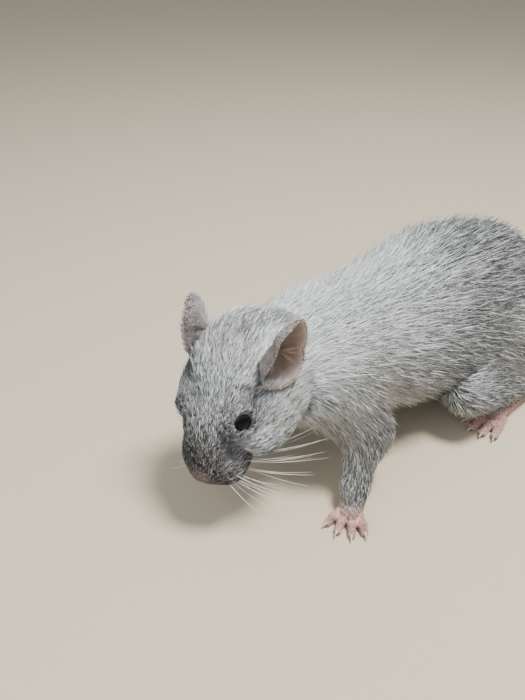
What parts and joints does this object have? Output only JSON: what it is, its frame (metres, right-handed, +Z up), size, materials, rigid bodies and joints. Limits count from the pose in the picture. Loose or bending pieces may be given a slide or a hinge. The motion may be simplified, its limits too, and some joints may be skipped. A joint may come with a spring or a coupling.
{
  "type": "degu figure",
  "caption": "Life-size still model of a blue-grey degu standing on four feet, head bent down and turned to its left, ears apart, bristly brushed tail laid behind on the floor.",
  "frame": {"origin": "centre of the bounding box on the floor", "axes": "+Z up, -Y the way the body faces, +X the animal's left"},
  "size_m": [0.0858, 0.2474, 0.0737],
  "materials": {
    "coat": "short dense silver-grey fur",
    "tail_brush": "coarse dark bristles",
    "ear_skin": "thin brown-pink skin with a fine short down",
    "foot_skin": "pink skin with horn claws",
    "eye": "wet, glossy and near black"
  },
  "bodies": {
    "root": {"head": "coat", "muzzle": "coat", "neck": "coat", "torso": "coat", "foreleg_left": "coat", "foreleg_right": "coat", "hindleg_left": "coat", "hindleg_right": "coat", "tail_base": "coat", "tail_middle": "coat", "tail_tip": "tail_brush", "ear_left": "ear_skin", "ear_right": "ear_skin", "eye_left": "eye", "eye_right": "eye", "forefoot_left": "foot_skin", "forefoot_right": "foot_skin", "hindfoot_left": "foot_skin", "hindfoot_right": "foot_skin"}
  },
  "joints": []
}
